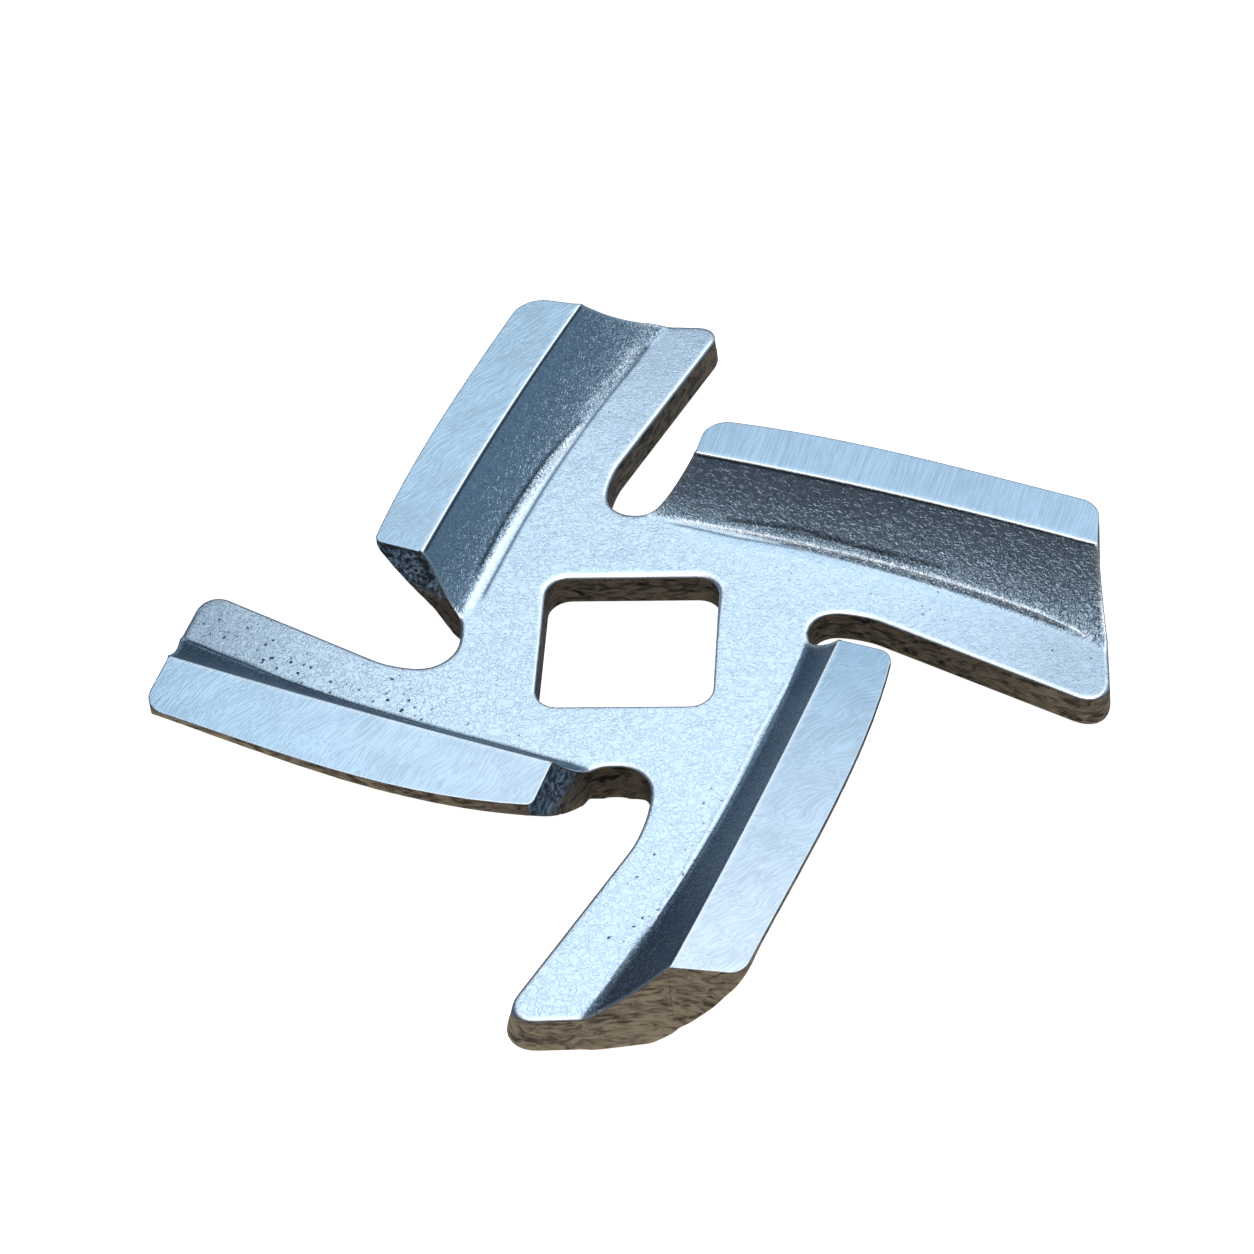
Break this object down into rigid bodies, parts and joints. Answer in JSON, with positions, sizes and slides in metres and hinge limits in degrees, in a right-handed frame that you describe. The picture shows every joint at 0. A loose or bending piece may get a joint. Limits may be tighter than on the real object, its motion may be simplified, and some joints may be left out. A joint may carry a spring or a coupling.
{
  "type": "meat grinder knife",
  "caption": "Flat cast knife with swept arms round a square drive hole, each arm a raised rib with a ground land on top and a hollow slope down to the plate.",
  "frame": {"origin": "on the axis of the square drive hole, in the plane of the flat underside", "axes": "+Z from the underside towards the ground lands, along the drive hole; one arm points along +Y with its cutting edge on its -X side"},
  "size_m": [0.0524, 0.0524, 0.0054],
  "materials": {
    "cast_steel": "tumbled cast skin with ground lands"
  },
  "bodies": {
    "root": {"grinder_knife": "cast_steel"}
  },
  "joints": []
}
